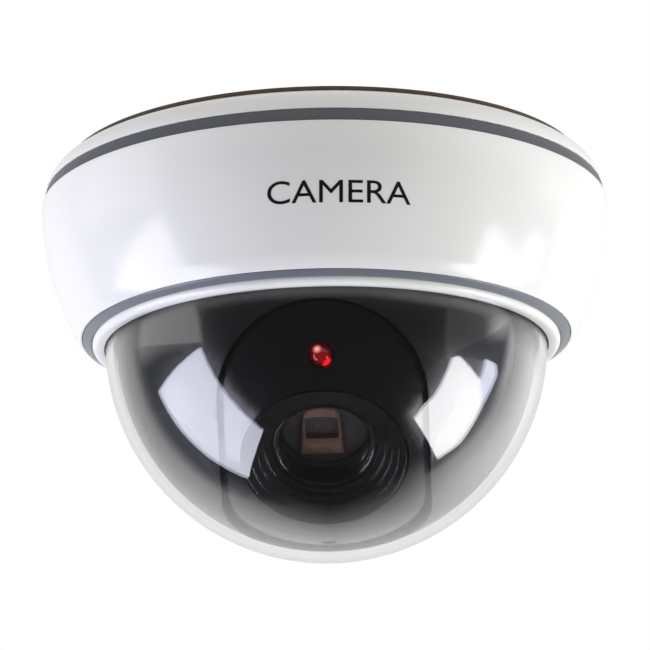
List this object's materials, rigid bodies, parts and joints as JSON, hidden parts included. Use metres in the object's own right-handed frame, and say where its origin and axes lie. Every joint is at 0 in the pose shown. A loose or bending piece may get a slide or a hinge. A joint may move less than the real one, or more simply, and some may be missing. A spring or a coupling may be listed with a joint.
{
  "type": "dome cctv camera",
  "caption": "Ceiling dome camera: a round cover with a clear dome over a panning liner and a tilting ball that carries the lens and a red lamp.",
  "frame": {"origin": "middle of the gasket face that lies against the ceiling", "axes": "+Z into the ceiling, so the dome hangs in -Z; -Y is the side the lens looks towards; +X to its side"},
  "size_m": [0.125, 0.125, 0.0883],
  "materials": {
    "white_abs": "moulded white ABS, polished",
    "grey_trim": "blue-grey painted trim, semi-gloss",
    "clear_polycarbonate": "clear moulded polycarbonate",
    "gloss_black_abs": "polished black ABS",
    "black_abs": "satin black ABS",
    "base_abs": "fine-textured white ABS",
    "foam": "closed-cell foam",
    "rubber_seal": "moulded rubber",
    "circuit_board": "glass-epoxy board with green solder mask",
    "chip_epoxy": "moulded epoxy",
    "socket_nylon": "moulded nylon",
    "capacitor_sleeve": "sleeved aluminium can",
    "screw_steel": "zinc-plated steel",
    "spring_brass": "spring brass",
    "anodised_aluminium": "black anodised, turned",
    "lens_glass": "coated optical glass",
    "brown_plate": "brown moulded frame",
    "filter_glass": "infrared-cut filter",
    "sensor_silicon": "ceramic package with a silicon die",
    "red_led": "clear red epoxy"
  },
  "bodies": {
    "base": {"ceiling_gasket": "foam", "base_plate": "base_abs", "cable_grommet": "rubber_seal", "main_board": "circuit_board", "board_screw_1": "screw_steel", "board_screw_2": "screw_steel", "board_screw_3": "screw_steel", "processor_chip": "chip_epoxy", "power_socket": "socket_nylon", "video_socket": "socket_nylon", "filter_capacitor": "capacitor_sleeve", "friction_washer": "spring_brass", "pan_retainer": "screw_steel", "hub_screw": "screw_steel"},
    "cover": {"housing_shell": "white_abs", "upper_trim_band": "grey_trim", "lower_trim_ring": "grey_trim", "dome_bezel": "white_abs", "dome_seal": "rubber_seal", "clear_dome": "clear_polycarbonate"},
    "pan_unit": {"turntable": "black_abs", "yoke_arm_right": "black_abs", "yoke_arm_left": "black_abs", "yoke_screw_right": "screw_steel", "yoke_screw_left": "screw_steel", "inner_liner": "gloss_black_abs", "liner_screw_1": "screw_steel", "liner_screw_2": "screw_steel", "liner_screw_3": "screw_steel"},
    "tilt_unit": {"camera_ball": "gloss_black_abs", "ball_screw": "screw_steel", "pivot_screw_right": "screw_steel", "pivot_screw_left": "screw_steel", "lens_hood": "black_abs", "front_lens": "lens_glass", "lens_barrel": "anodised_aluminium", "focus_ring": "black_abs", "aperture_plate": "brown_plate", "ir_filter": "filter_glass", "lens_holder": "black_abs", "image_sensor": "sensor_silicon", "sensor_board": "circuit_board", "module_screw_1": "screw_steel", "module_screw_2": "screw_steel", "status_led": "red_led", "led_holder": "black_abs", "led_board": "circuit_board"}
  },
  "joints": [
    {"name": "cover_twist", "type": "hinge", "parent": "base", "child": "cover", "pos_m": [0, 0, -0.0125], "axis": [0, 0, 1], "range_deg": [0, 20]},
    {"name": "pan", "type": "hinge", "parent": "base", "child": "pan_unit", "pos_m": [0, 0, -0.0131], "axis": [0, 0, 1], "range_deg": [-165, 165]},
    {"name": "tilt", "type": "hinge", "parent": "pan_unit", "child": "tilt_unit", "pos_m": [0, 0, -0.0398], "axis": [1, 0, 0], "range_deg": [-20, 26]}
  ]
}
